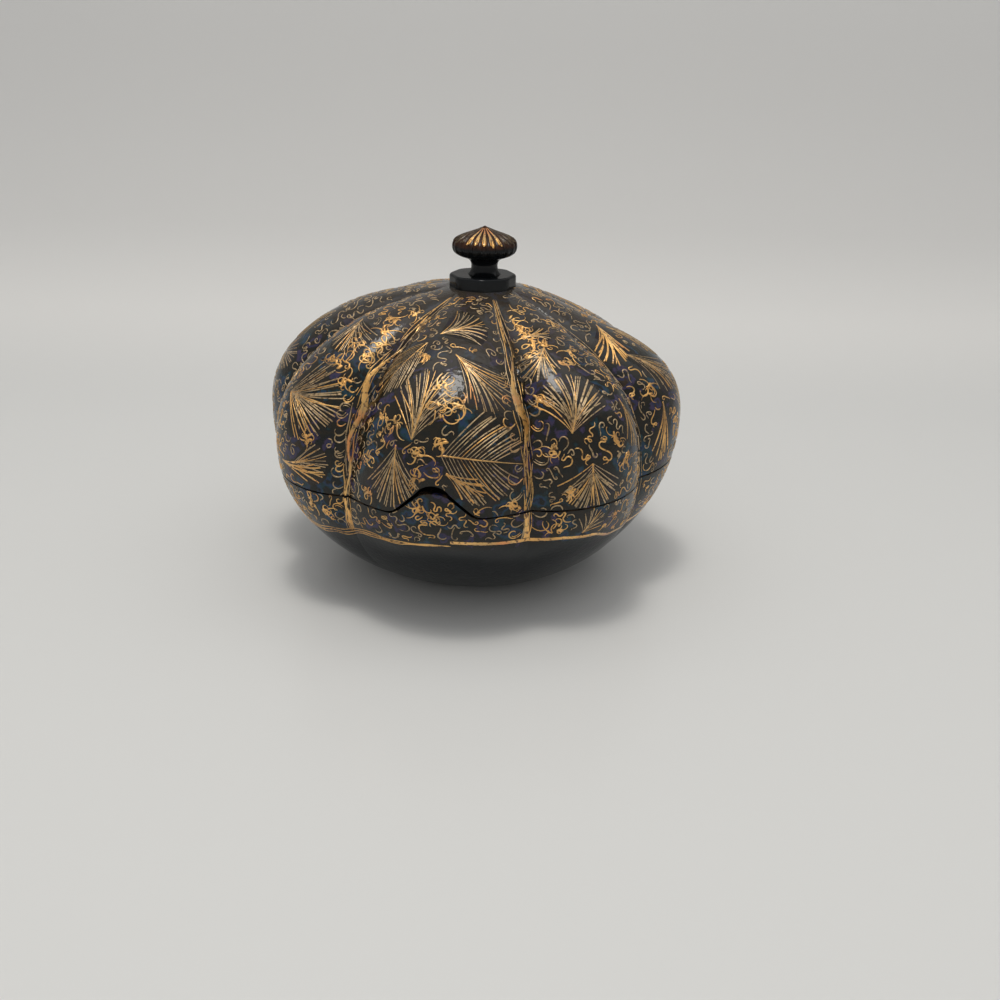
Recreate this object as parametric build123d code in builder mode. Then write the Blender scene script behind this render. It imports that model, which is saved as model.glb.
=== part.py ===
from build123d import *
import math
import os

# Powder box: a lobed, lacquered papier-mache bowl and a lift-off domed lid with a turned knob.
# Millimetres, +Z up, origin at the centre of the face that the box stands on.
# The side with the seam key faces -Y, and azimuths run from -Y towards +X, in degrees.

# Melon body, outside surface over the lobes
belly_radius = 55.6
belly_height = 41.0
bottom_radius = 27.6
bottom_height = 1.2
crown_radius = 9.2
crown_height = 75.3
crown_shift = 1.3

# Roundness of that outline, as powers of the distance from the belly
underside_power = 2.12
underside_fullness = 0.82
dome_power = 2.6
dome_fullness = 0.83

# Lean of the dome's sections, down towards +X: most in its upper half, none at the belly and the crown
dome_lean = 3.0
dome_lean_power = 4.0

# Grooves between the lobes: their depth as a share of the radius grows with height, then closes
groove_share = 0.30
groove_rise_power = 1.5
groove_close_power = 60

# Each lobe, in order round the box: the azimuth of the groove where it starts, and its swell
lobes = [
    (-77.0, 1.015),
    (-35.5, 0.985),
    (17.0, 0.995),
    (57.5, 0.99),
    (107.0, 0.965),
    (152.0, 0.99),
    (195.0, 1.02),
    (239.0, 1.03),
]

# Papier-mache wall
wall = 3.0
floor_thickness = 3.2
crown_thickness = 3.2

# Seam between bowl and lid, and its registering key at the front
seam_height = 32.6
seam_tilt = 0.7
seam_gap = 0.4
key_x = -8.0
key_base_width = 19.4
key_top_width = 6.8
key_shoulder_rise = 5.9
key_rise = 6.7
key_foot_round = 4.0
key_root = 2.0
key_side_clearance = 0.4
key_shoulder_clearance = 0.4
key_top_clearance = 1.5
key_notch_lean = 1.2

# Locating rim glued into a rebate in the bowl's mouth
rim_thickness = 1.8
rim_rise = 8.4
rim_depth = 6.0
rim_clearance = 0.4
rim_bevel = 0.6
rim_bevel_height = 1.2

# Foot disc
foot_radius = 25.6
foot_bevel = 0.5

# Collar under the knob
collar_offset = 0.2
collar_radius = 9.0
collar_height = 3.2
collar_sides = 8
collar_corner_round = 4.0
collar_edge_round = 0.7

# Turned knob
knob_offset = 0.6
neck_radius = 3.4
neck_flare = 1.0
neck_height = 2.1
head_underside_radius = 6.0
head_underside_height = 4.5
head_radius = 8.4
head_rim_height = 7.1
head_shoulder_radius = 6.3
head_shoulder_height = 9.6
head_tip_height = 11.7
head_tip_radius = 0.9
flute_count = 22
flute_radius = 0.95
flute_stand_off = 0.62

# Wooden peg that joins knob, collar and lid
peg_radius = 2.0
peg_clearance = 0.1
peg_in_knob = 5.5
peg_end_clearance = 0.3
peg_bevel = 0.3

section_steps_below = 5
section_steps_above = 8


def crest_radius(z, inset=0.0):
    """Outside radius over a lobe at height z, or the cavity's radius for an inset of one wall."""
    depth = inset / wall
    if z <= belly_height:
        end_radius = bottom_radius
        end_height = bottom_height + depth * floor_thickness
        power, fullness = underside_power, underside_fullness
    else:
        end_radius = crown_radius
        end_height = crown_height - depth * crown_thickness
        power, fullness = dome_power, dome_fullness
    away = min(1.0, abs(z - belly_height) / abs(end_height - belly_height))
    return end_radius + (belly_radius - inset - end_radius) * (1 - away**power) ** fullness


def groove_radius(z, inset=0.0):
    """Radius in a groove at height z, outside or in the cavity."""
    depth = inset / wall
    low = bottom_height + depth * floor_thickness
    high = crown_height - depth * crown_thickness
    up = min(1.0, max(0.0, (z - low) / (high - low)))
    share = groove_share * up**groove_rise_power * (1 - up**groove_close_power)
    return crest_radius(z, inset) * (1 - share)


def section_plane(z, top):
    """Plane of a form's section at height z; the crown stands a little off centre."""
    up = max(0.0, z - belly_height) / (top - belly_height)
    lean = math.radians(dome_lean * math.sin(math.pi * up**dome_lean_power))
    shift = crown_shift * max(0.0, z - seam_height) / (crown_height - seam_height)
    across = (math.cos(lean), 0, -math.sin(lean))
    return Plane(origin=(shift, 0, z), x_dir=across, z_dir=(math.sin(lean), 0, math.cos(lean)))


def on_azimuth(radius, azimuth):
    """Point of a section's plane at a radius and an azimuth."""
    angle = math.radians(azimuth)
    return (radius * math.sin(angle), -radius * math.cos(angle))


def lobed_outline(crest, groove):
    """Closed ring of one arc for each lobe, creased in the grooves, inside a BuildLine."""
    for index, (start, swell) in enumerate(lobes):
        end = lobes[(index + 1) % len(lobes)][0]
        if end <= start:
            end += 360.0
        ThreePointArc(
            on_azimuth(groove, start),
            on_azimuth(crest * swell, (start + end) / 2),
            on_azimuth(groove, end),
        )


def section_heights(bottom, top):
    """Heights of the sections, closer together towards the foot and the crown."""
    below = [
        belly_height - (belly_height - bottom) * math.sin(math.pi / 2 * i / section_steps_below)
        for i in range(section_steps_below, 0, -1)
    ]
    above = [
        belly_height + (top - belly_height) * math.sin(math.pi / 2 * i / section_steps_above)
        for i in range(section_steps_above + 1)
    ]
    return below + above


# Seam plane, a little higher on the +X side
seam_normal = (-math.sin(math.radians(seam_tilt)), 0, math.cos(math.radians(seam_tilt)))
seam_plane = Plane(origin=(0, 0, seam_height), x_dir=(seam_normal[2], 0, -seam_normal[0]), z_dir=seam_normal)
bowl_edge_plane = seam_plane.offset(-seam_gap / 2)
lid_edge_plane = seam_plane.offset(seam_gap / 2)

# Lid cavity where the rim stands in it: narrowest over the lobes at the seam, in the grooves at its top
rim_bottom = seam_height - rim_depth
rim_top = seam_height + rim_rise
rim_crest = crest_radius(seam_height, wall) - rim_clearance
rim_groove = groove_radius(rim_top, wall) - rim_clearance

ceiling_height = crown_height - crown_thickness
collar_x = crown_shift + collar_offset
knob_x = crown_shift + knob_offset
knob_axis = Axis((knob_x, 0, 0), (0, 0, 1))
collar_top = crown_height + collar_height
neck_z = collar_top + neck_height
head_underside_z = collar_top + head_underside_height
head_rim_z = collar_top + head_rim_height
head_shoulder_z = collar_top + head_shoulder_height
head_tip_z = collar_top + head_tip_height
peg_top = collar_top + peg_in_knob
peg_bottom = ceiling_height
hole_radius = peg_radius + peg_clearance
flute_diagonal = flute_stand_off * math.sqrt(0.5)


# Solid melon form, foot to crown
with BuildPart() as melon_form:
    for z in section_heights(bottom_height, crown_height):
        with BuildSketch(section_plane(z, crown_height)):
            with BuildLine():
                lobed_outline(crest_radius(z), groove_radius(z))
            make_face()
    loft()


# Hollow inside it
with BuildPart() as cavity_form:
    for z in section_heights(bottom_height + floor_thickness, ceiling_height):
        with BuildSketch(section_plane(z, ceiling_height)):
            with BuildLine():
                lobed_outline(crest_radius(z, wall), groove_radius(z, wall))
            make_face()
    loft()


def key_bar(edge, side_clearance=0.0, shoulder_clearance=0.0, top_clearance=0.0, lean=0.0):
    """Solid bar through the front wall whose section is the seam key standing on an edge of the seam."""
    key_base = seam_height + key_x * math.tan(math.radians(seam_tilt))
    half_base = key_base_width / 2 + side_clearance
    half_top = key_top_width / 2 + side_clearance
    skirt = half_base + key_foot_round
    shoulder = edge + key_shoulder_rise + shoulder_clearance
    with BuildPart() as bar:
        with BuildSketch(Plane(origin=(key_x, 0, key_base), x_dir=seam_plane.x_dir, z_dir=(0, -1, 0))) as section:
            with BuildLine():
                left = Polyline(
                    (-skirt, edge - key_root),
                    (-skirt, edge),
                    (-half_base, edge),
                    (-half_top, shoulder),
                )
                top = ThreePointArc(left @ 1, (lean, edge + key_rise + top_clearance), (half_top, shoulder))
                right = Polyline(
                    top @ 1,
                    (half_base, edge),
                    (skirt, edge),
                    (skirt, edge - key_root),
                )
                Line(right @ 1, left @ 0)
            make_face()
            feet = section.vertices().group_by(Axis.Y)[1].sort_by(Axis.X)[1:3]
            fillet(feet, key_foot_round)
        extrude(amount=2 * belly_radius)
    return bar.part


# Tongue of the front wall that stands above the seam
with BuildPart() as key_tongue:
    add(melon_form.part)
    add(cavity_form.part, mode=Mode.SUBTRACT)
    add(key_bar(-seam_gap / 2), mode=Mode.INTERSECT)


with BuildPart() as bowl_shell:
    add(melon_form.part)
    add(cavity_form.part, mode=Mode.SUBTRACT)
    split(bisect_by=bowl_edge_plane, keep=Keep.BOTTOM)
    add(key_tongue.part)
    with BuildSketch(Plane.XY.offset(rim_bottom)):
        with BuildLine():
            lobed_outline(rim_crest, rim_groove)
        make_face()
    extrude(amount=rim_depth + key_rise + rim_rise, mode=Mode.SUBTRACT)


with BuildPart() as locating_rim:
    with BuildSketch(Plane.XY.offset(rim_bottom)):
        with BuildLine():
            lobed_outline(rim_crest, rim_groove)
        make_face()
    extrude(amount=rim_depth + rim_rise - rim_bevel_height)
    for z, bevel in [(rim_top - rim_bevel_height, 0.0), (rim_top, rim_bevel)]:
        with BuildSketch(Plane.XY.offset(z)):
            with BuildLine():
                lobed_outline(rim_crest - bevel, rim_groove - bevel)
            make_face()
    loft(ruled=True)
    with BuildSketch(Plane.XY.offset(rim_bottom)):
        with BuildLine():
            lobed_outline(rim_crest - rim_thickness, rim_groove - rim_thickness)
        make_face()
    extrude(amount=rim_depth + rim_rise, mode=Mode.SUBTRACT)


with BuildPart() as foot_disc:
    with BuildSketch(Plane.XY):
        Circle(foot_radius)
    extrude(amount=bottom_height)
    chamfer(foot_disc.faces().sort_by(Axis.Z)[0].edges(), foot_bevel)


with BuildPart() as lid_shell:
    add(melon_form.part)
    add(cavity_form.part, mode=Mode.SUBTRACT)
    split(bisect_by=lid_edge_plane, keep=Keep.TOP)
    notch = key_bar(
        seam_gap / 2,
        key_side_clearance,
        key_shoulder_clearance,
        key_top_clearance,
        key_notch_lean,
    )
    add(notch, mode=Mode.SUBTRACT)
    with BuildSketch(Plane(origin=(knob_x, 0, peg_bottom))):
        Circle(hole_radius)
    extrude(amount=crown_thickness, mode=Mode.SUBTRACT)


with BuildPart() as knob_collar:
    with BuildSketch(Plane(origin=(collar_x, 0, crown_height))) as collar_outline:
        RegularPolygon(collar_radius, collar_sides)
        fillet(collar_outline.vertices(), collar_corner_round)
        with Locations((knob_x - collar_x, 0)):
            Circle(hole_radius, mode=Mode.SUBTRACT)
    extrude(amount=collar_height)
    top_face = knob_collar.faces().sort_by(Axis.Z)[-1]
    fillet(top_face.outer_wire().edges(), collar_edge_round)


with BuildPart() as flute_cutter:
    with BuildLine() as flute_path:
        Spline(
            (knob_x + head_tip_radius, 0, head_tip_z + flute_radius),
            (knob_x + head_shoulder_radius + flute_diagonal, 0, head_shoulder_z + flute_diagonal),
            (knob_x + head_radius + flute_stand_off, 0, head_rim_z),
            (knob_x + head_radius, 0, head_rim_z - 2 * flute_radius),
        )
    with BuildSketch(Plane(origin=flute_path.line @ 0, z_dir=flute_path.line % 0)):
        Circle(flute_radius)
    sweep()


with BuildPart() as knob:
    with BuildSketch(Plane(origin=(knob_x, 0, 0), x_dir=(1, 0, 0), z_dir=(0, -1, 0))):
        with BuildLine():
            seat = Line((0, collar_top), (neck_radius + neck_flare, collar_top))
            flare = Spline(seat @ 1, (neck_radius, neck_z), tangents=[(-1, 1), (0, 1)])
            underside = Spline(
                flare @ 1,
                (head_underside_radius, head_underside_z),
                (head_radius, head_rim_z),
                tangents=[(0, 1), (0, 1)],
            )
            cap = Spline(
                underside @ 1,
                (head_shoulder_radius, head_shoulder_z),
                (head_tip_radius, head_tip_z),
                tangents=[(0, 1), (-1, 0.5)],
            )
            tip = Line(cap @ 1, (0, head_tip_z + head_tip_radius / 2))
            Line(tip @ 1, seat @ 0)
        make_face()
    revolve(axis=knob_axis)
    for turn in range(flute_count):
        add(flute_cutter.part.rotate(knob_axis, 360 * turn / flute_count), mode=Mode.SUBTRACT)
    with BuildSketch(Plane(origin=(knob_x, 0, collar_top))):
        Circle(hole_radius)
    extrude(amount=peg_in_knob, mode=Mode.SUBTRACT)


with BuildPart() as knob_peg:
    with BuildSketch(Plane(origin=(knob_x, 0, peg_bottom))):
        Circle(peg_radius)
    extrude(amount=peg_top - peg_bottom - peg_end_clearance)
    chamfer(knob_peg.faces().sort_by(Axis.Z)[-1].edges(), peg_bevel)


os.makedirs("parts", exist_ok=True)

bowl_shell.part.label = "bowl_shell"
export_step(bowl_shell.part, "parts/bowl_shell.step")

locating_rim.part.label = "locating_rim"
export_step(locating_rim.part, "parts/locating_rim.step")

foot_disc.part.label = "foot_disc"
export_step(foot_disc.part, "parts/foot_disc.step")

lid_shell.part.label = "lid_shell"
export_step(lid_shell.part, "parts/lid_shell.step")

knob_collar.part.label = "knob_collar"
export_step(knob_collar.part, "parts/knob_collar.step")

knob.part.label = "knob"
export_step(knob.part, "parts/knob.step")

knob_peg.part.label = "knob_peg"
export_step(knob_peg.part, "parts/knob_peg.step")
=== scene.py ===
import random
from math import atan2, ceil, copysign, cos, degrees, floor, hypot, pi, radians, sin

import bpy
from mathutils import Matrix, Vector
from mathutils.bvhtree import BVHTree


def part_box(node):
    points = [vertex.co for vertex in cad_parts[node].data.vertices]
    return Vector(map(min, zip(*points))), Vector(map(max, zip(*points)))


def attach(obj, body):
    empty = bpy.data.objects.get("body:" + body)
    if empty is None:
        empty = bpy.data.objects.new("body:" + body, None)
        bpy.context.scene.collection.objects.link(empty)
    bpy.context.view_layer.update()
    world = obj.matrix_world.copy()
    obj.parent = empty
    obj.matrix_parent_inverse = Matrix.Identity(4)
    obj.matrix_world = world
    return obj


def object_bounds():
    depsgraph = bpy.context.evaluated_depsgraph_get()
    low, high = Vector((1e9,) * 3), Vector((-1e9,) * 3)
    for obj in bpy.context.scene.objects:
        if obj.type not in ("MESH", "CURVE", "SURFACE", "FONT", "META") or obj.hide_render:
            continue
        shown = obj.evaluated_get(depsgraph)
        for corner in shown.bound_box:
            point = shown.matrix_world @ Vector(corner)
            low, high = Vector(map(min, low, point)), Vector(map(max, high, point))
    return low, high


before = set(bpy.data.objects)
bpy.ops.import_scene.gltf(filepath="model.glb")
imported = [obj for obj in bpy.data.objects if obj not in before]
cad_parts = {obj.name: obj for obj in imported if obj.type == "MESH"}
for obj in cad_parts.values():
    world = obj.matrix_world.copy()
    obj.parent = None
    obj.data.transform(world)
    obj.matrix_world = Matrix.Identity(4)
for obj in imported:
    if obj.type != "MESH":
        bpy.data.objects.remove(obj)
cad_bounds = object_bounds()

# The looks of a lobed powder box: dark lacquer with raised gold brushwork, in a plain studio.
# Lengths are in millimetres until they meet a mesh, and MM turns them into the frame's metres.
# Azimuths run from -Y, the side with the seam key, towards +X, in degrees.
MM = 0.001

# Reach of the lines that look for the surface
FAR = 200 * MM

# A stroke's step, the height of its ridge, and the width from which the ridge is full
STEP = 0.4
RIDGE = 0.09
FULL_WIDTH = 0.3

# How deep the edges of paint sink, how far films stand proud, and the columns of a gold one
SUNK = 0.02
GROUND_LIFT = 0.02
GOLD_LIFT = 0.05
FILM_COLUMNS = 5

# Cells for dry paint, wider than any clearance, and how far free strokes stay from a groove
CELL = 1.3 * MM
GROOVE_MARGIN = 1.3

# Azimuths of the lobe whose gold is painted as duller tan, a painted shade on that side of the box
SHADED_LOBE = (-124, -77)

dice = random.Random(11)

stores = {}
dry = {}
wet = []


# Surface of the box

def tree_of(node):
    """Search tree of a node's faces."""
    return BVHTree.FromObject(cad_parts[node], bpy.context.evaluated_depsgraph_get())


SHELLS = {"lid": tree_of("lid_shell"), "base": tree_of("bowl_shell")}
lid_low, lid_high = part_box("lid_shell")
collar_low, collar_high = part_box("knob_collar")
SEAM = lid_low.z / MM
CROWN = lid_high.z / MM
CROWN_X = (collar_low.x + collar_high.x) / 2 / MM

# Point inside the box that sees the whole outside
HEART_RISE = 4
HEART = Vector((0, 0, (SEAM + HEART_RISE) * MM))

# Least cosine between a line and the surface's normal, for level lines and for lines to the heart
LEVEL_GRAZING = 0.08
HEART_GRAZING = 0.35

# Steps up from a height that may lie in the open seam
SEAM_STEPS = (0.0, 0.8, 1.6, 2.4)

# Where grooves are looked for: share of the way up to the crown, steps round it, degrees apart
GROOVE_LEVEL = 0.6
GROOVE_STEPS = 720
GROOVE_SPACING = 10


def outward(azimuth):
    """Level direction away from the axis at an azimuth."""
    angle = radians(azimuth)
    return Vector((sin(angle), -cos(angle), 0))


def axis_point(height):
    """Point of the box's axis, which leans a little towards the knob, at a height."""
    share = max(0.0, (height - SEAM) / (CROWN - SEAM))
    return Vector((CROWN_X * share, 0, height)) * MM


def azimuth_of(place):
    """Azimuth of a place round the leaning axis."""
    middle = axis_point(place.z / MM)
    return degrees(atan2(place.x - middle.x, middle.y - place.y))


def first_hit(start, direction, grazing):
    """Body, place and normal where a line from outside first meets a shell's outside, or None."""
    found = None
    for body, tree in SHELLS.items():
        place, normal, _, distance = tree.ray_cast(start, direction, FAR)
        if place is not None and (found is None or distance < found[0]):
            found = (distance, body, place, normal)
    if found is None or found[3].dot(direction) > -grazing:
        return None
    return found[1:]


def wall_point(azimuth, height):
    """Where a level line at an azimuth and a height meets the outside."""
    away = outward(azimuth)
    return first_hit(axis_point(height) + away * FAR, -away, LEVEL_GRAZING)


def wall_radius(azimuth, height):
    """Distance from the axis to the wall, in millimetres, taken a little higher where the seam is open."""
    for lift in SEAM_STEPS:
        hit = wall_point(azimuth, height + lift)
        if hit is not None:
            return (hit[1] - axis_point(height + lift)).length / MM
    return 0.0


def skin_point(target):
    """Where the line from the heart of the box through a target meets the outside."""
    away = (target - HEART).normalized()
    return first_hit(HEART + away * FAR, -away, HEART_GRAZING)


def find_grooves():
    """Azimuths of the grooves: where the wall comes nearest to the axis, well above the belly."""
    height = SEAM + GROOVE_LEVEL * (CROWN - SEAM)
    turn = 360 / GROOVE_STEPS
    radii = [wall_radius(turn * i - 180, height) for i in range(GROOVE_STEPS)]
    reach = int(GROOVE_SPACING / turn)
    found = []
    for i, radius in enumerate(radii):
        around = [radii[(i + k) % GROOVE_STEPS] for k in range(-reach, reach + 1)]
        if radius == min(around):
            found.append(turn * i - 180)
    return found


GROOVES = find_grooves()


def turn_between(a, b):
    """Signed turn from azimuth a to azimuth b, from -180 to 180."""
    return (b - a + 180) % 360 - 180


def lobe_of(azimuth):
    """Number of the lobe at an azimuth: the groove where it starts."""
    behind = [turn_between(groove, azimuth) % 360 for groove in GROOVES]
    return behind.index(min(behind))


def groove_distance(place):
    """Level distance from a place to the nearest groove, in millimetres."""
    radius = (place - axis_point(place.z / MM)).length / MM
    azimuth = azimuth_of(place)
    return radius * radians(min(abs(turn_between(azimuth, groove)) for groove in GROOVES))


# Brush strokes

def cell_of(place):
    """Key of the cell that a place lies in."""
    return tuple(floor(c / CELL) for c in place)


def crowded(place, clearance):
    """True if dry paint lies within a clearance of a place."""
    limit = (clearance * MM) ** 2
    x, y, z = cell_of(place)
    for i in (x - 1, x, x + 1):
        for j in (y - 1, y, y + 1):
            for k in (z - 1, z, z + 1):
                for other in dry.get((i, j, k), ()):
                    if (other - place).length_squared < limit:
                        return True
    return False


def taken(hit, clearance, margin):
    """True if a hit is missing, near dry paint, within a margin of a groove, or below the border."""
    if hit is None or crowded(hit[1], clearance) or groove_distance(hit[1]) < margin:
        return True
    return hit[1].z / MM < border_at(azimuth_of(hit[1])) + BORDER_CLEARANCE


def let_dry():
    """Wet paint now keeps later strokes away."""
    for place in wet:
        dry.setdefault(cell_of(place), []).append(place)
    wet.clear()


def store_of(kind, body, place):
    """Mesh for a kind of paint on one lobe of one body; on one lobe the gold is painted as tan, a painted
    shade.
    """
    # Painted shade: gold on the far-left lobe becomes the duller tan
    if kind == "gold" and body != "knob" and SHADED_LOBE[0] < azimuth_of(place) < SHADED_LOBE[1]:
        kind = "tan"
    key = (kind, body, lobe_of(azimuth_of(place)))
    return stores.setdefault(key, {"points": [], "faces": [], "smooth": []})


def ribbon(store, hits, widths):
    """Closed strip with a raised ridge along hits on one body."""
    base = len(store["points"])
    last = len(hits) - 1
    for i, (_, place, normal) in enumerate(hits):
        along = hits[min(i + 1, last)][1] - hits[max(i - 1, 0)][1]
        side = along.cross(normal).normalized() * (widths[i] * MM / 2)
        root = place - normal * (SUNK * MM)
        rise = normal * (RIDGE * MM * min(1.0, widths[i] / FULL_WIDTH))
        store["points"] += [root - side, place + rise, root + side]
    for i in range(last):
        a = base + 3 * i
        b = a + 3
        store["faces"] += [(a, a + 1, b + 1, b), (a + 1, a + 2, b + 2, b + 1), (a + 2, a, b, b + 2)]
        store["smooth"] += [True, True, False]
    end = base + 3 * last
    store["faces"] += [(base, base + 2, base + 1), (end, end + 1, end + 2)]
    store["smooth"] += [False, False]


def lay(hits, width, pressure, kind="gold"):
    """Turns a row of hits into ribbons, one for each stretch that stays on one body."""
    count = max(1, len(hits) - 1)
    run = []
    for i, hit in enumerate(hits + [None]):
        if run and (hit is None or hit[0] != run[0][1][0]):
            if len(run) > 2:
                row = [h for _, h in run]
                widths = [width * pressure(k / count) for k, _ in run]
                ribbon(store_of(kind, row[0][0], row[0][1]), row, widths)
                wet.extend(h[1] for h in row)
            run = []
        if hit is not None:
            run.append((i, hit))


def film(kind, rows, lift):
    """Thin skin of paint over a grid of hits, with its border sunk into the lacquer."""
    numbers = {}

    def corner(store, i, j):
        key = (id(store), i, j)
        if key not in numbers:
            _, place, normal = rows[i][j]
            border = i in (0, len(rows) - 1) or j in (0, len(rows[0]) - 1)
            numbers[key] = len(store["points"])
            store["points"].append(place + normal * ((-SUNK if border else lift) * MM))
        return numbers[key]

    for i in range(len(rows) - 1):
        for j in range(len(rows[0]) - 1):
            quad = [(i, j), (i, j + 1), (i + 1, j + 1), (i + 1, j)]
            hits = [rows[a][b] for a, b in quad]
            if None in hits or len({hit[0] for hit in hits}) > 1:
                continue
            store = store_of(kind, *hits[0][:2])
            store["faces"].append([corner(store, a, b) for a, b in quad])
            store["smooth"].append(True)
    wet.extend(hit[1] for row in rows for hit in row if hit is not None)


class Spot:
    """A place on the skin with a plane of its own: x to the right of its heading, y along it."""

    def __init__(self, place, normal, toward):
        self.place = place
        self.forward = (toward - normal * toward.dot(normal)).normalized()
        self.right = self.forward.cross(normal)

    def skin(self, x, y):
        """Hit of the skin at x and y, in millimetres."""
        return skin_point(self.place + (self.right * x + self.forward * y) * MM)


def spot_between(azimuth, height, tip_azimuth, tip_height):
    """Spot halfway between two places of the wall, heading for the second, and their distance."""
    start = wall_point(azimuth, height)[1]
    end = wall_point(tip_azimuth, tip_height)[1]
    _, place, normal = skin_point((start + end) / 2)
    return Spot(place, normal, end - start), (end - start).length / MM


def spot_heading(azimuth, height, heading):
    """Spot at a place of the wall; heading 0 is up the wall and 90 is towards larger azimuths."""
    hit = wall_point(azimuth, height)
    if hit is None:
        return None
    _, place, normal = hit
    up = (Vector((0, 0, 1)) - normal * normal.z).normalized()
    level = up.cross(normal)
    angle = radians(heading)
    return Spot(place, normal, up * cos(angle) + level * sin(angle))


def swept(start, first, last, length, power=1.0):
    """Path that turns from its first heading to its last, in degrees right of the spot's heading."""
    return bent(start, length, lambda share: first + (last - first) * share**power)


def bent(start, length, heading_at):
    """Path whose heading, in degrees right of the spot's heading, follows a function of the share run."""
    count = max(3, ceil(length / STEP))
    x, y = start
    path = [(x, y)]
    for i in range(count):
        heading = radians(heading_at((i + 0.5) / count))
        x += sin(heading) * length / count
        y += cos(heading) * length / count
        path.append((x, y))
    return path


def beside(path, offset):
    """Path at an offset to the right of another."""
    moved = []
    for i, (x, y) in enumerate(path):
        x0, y0 = path[max(i - 1, 0)]
        x1, y1 = path[min(i + 1, len(path) - 1)]
        run = hypot(x1 - x0, y1 - y0)
        moved.append((x + offset * (y1 - y0) / run, y - offset * (x1 - x0) / run))
    return moved


def centred(path):
    """Path moved so that its middle lies on the spot."""
    middle_x = (min(x for x, _ in path) + max(x for x, _ in path)) / 2
    middle_y = (min(y for _, y in path) + max(y for _, y in path)) / 2
    return [(x - middle_x, y - middle_y) for x, y in path]


def swelling(share):
    """Pressure of a stroke that starts and ends fine."""
    return 0.45 + 0.55 * sin(pi * min(1.0, max(0.0, share))) ** 0.6


def lashing(share):
    """Pressure of a stroke that starts full and ends in a point."""
    return 1.0 - 0.62 * share**1.4


def ribbing(share):
    """Pressure of a leaf's rib: fine at the root, full and blunt at the end."""
    return 0.5 + 0.5 * min(1.0, 1.8 * share)


def paint(spot, path, width, pressure, clearance=None, least=0.0, kind="gold"):
    """Stroke along a path, up to dry paint or a groove, if that leaves its least share of it."""
    hits = []
    for x, y in path:
        hit = spot.skin(x, y)
        if clearance is not None and taken(hit, clearance, GROOVE_MARGIN):
            break
        hits.append(hit)
    if len(hits) < 3 or len(hits) < least * len(path):
        return False
    lay(hits, width, pressure, kind)
    return True


# Border line low on the bowl

# Azimuth and height of points of the border, left and right of the key, where its ends overlap
BORDER_LEFT = [(-130, 22), (-95, 20.6), (-60, 19.5), (-50, 20), (-40, 21.5), (-30, 23.7), (-20, 23.5),
               (-10, 24.3), (-4.2, 24.5)]
BORDER_RIGHT = [(-4.8, 25.6), (10, 25), (25, 24.8), (35, 24), (45, 21.5), (55, 20.2), (95, 21.5),
                (140, 23), (180, 21.8), (230, 22)]

# Its step in degrees, its width and how that varies, and how far other strokes stay above it
BORDER_TURN = 0.5
BORDER_WIDTH = 1.05
RAGGED = 0.12
BORDER_CLEARANCE = 0.8

# Fine lines of the left border: spread up the wall and width; they meet between two azimuths
BORDER_LANES = [(-0.55, 0.46), (0.0, 0.62), (0.6, 0.46)]
LANE_SPREAD = 1.3
LANE_WAVE = 0.12
MEET_FROM = -35
MEET_TO = -4
LANES_END = -4.5
LANE_LEAST = 1.5


def along_line(points, x):
    """Height of a line of points at x, with eased steps between them."""
    for (x0, y0), (x1, y1) in zip(points, points[1:]):
        if x <= x1:
            share = min(1.0, max(0.0, (x - x0) / (x1 - x0)))
            return y0 + (y1 - y0) * share * share * (3 - 2 * share)
    return points[-1][1]


def border_at(azimuth):
    """Height of the border at an azimuth."""
    if BORDER_LEFT[0][0] < azimuth < BORDER_LEFT[-1][0]:
        return along_line(BORDER_LEFT, azimuth)
    return along_line(BORDER_RIGHT, azimuth % 360 if azimuth < BORDER_RIGHT[0][0] else azimuth)


def border_film():
    """Thick gold line right of the key, with ragged edges."""
    start, end = BORDER_RIGHT[0][0], BORDER_RIGHT[-1][0]
    shares = [1 - 2 * k / (FILM_COLUMNS - 1) for k in range(FILM_COLUMNS)]
    rows = []
    for i in range(int((end - start) / BORDER_TURN) + 1):
        azimuth = start + BORDER_TURN * i
        half = BORDER_WIDTH / 2 * (1 + RAGGED * dice.uniform(-1, 1))
        centre = along_line(BORDER_RIGHT, azimuth)
        rows.append([wall_point(azimuth, centre + half * share) for share in shares])
    film("gold", rows, GOLD_LIFT)


def border_line():
    """Thick line right of the key, and fine lines that meet it on the left."""
    border_film()
    for lane, (spread, width) in enumerate(BORDER_LANES):
        azimuth = BORDER_LEFT[0][0]
        while azimuth < LANES_END - LANE_LEAST:
            end = min(azimuth + dice.uniform(12, 26), LANES_END)
            row = []
            while azimuth < end:
                apart = 1 - max(0.0, (azimuth - MEET_FROM) / (MEET_TO - MEET_FROM))
                height = along_line(BORDER_LEFT, azimuth) + spread * LANE_SPREAD * apart
                row.append(wall_point(azimuth, height + LANE_WAVE * sin(azimuth * 0.7 + lane)))
                azimuth += BORDER_TURN
            lay(row, width, swelling)
            azimuth -= dice.uniform(-0.4, 2.0)
    let_dry()


# Bands in the grooves

# For a fine and a bold band: its width at heights from the border to the crown, and its solid share
FINE_BAND = (
    [(23, 2), (34, 1.5), (44, 1.9), (52, 2.7), (60, 2.7), (66, 1.5), (74.2, 0.8)],
    [(23, 0.6), (34, 0.3), (44, 0.25), (52, 0.4), (60, 0.3), (66, 0.12), (74.2, 0.1)],
)
BOLD_BAND = (
    [(23, 2.9), (31, 2.2), (35, 2.7), (44, 2.9), (50, 3.7), (57, 4.7), (62.5, 4.2), (68, 3.2), (74.2, 1.5)],
    [(23, 0.8), (31, 0.5), (34, 0.05), (46, 0.08), (51, 0.4), (57, 0.6), (61, 0.3), (67, 0.1), (74.2, 0.1)],
)
BAND_LANES = 5
BAND_EDGE = 0.3
BAND_TOP = CROWN - 1
HOOKS_TOP = 71
HOOKS_FINE = 62
HOOK_GAP = 0.55

# Above this height the wall is nearly level, and steps down it are shorter
SHOULDER = CROWN - 6

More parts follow.
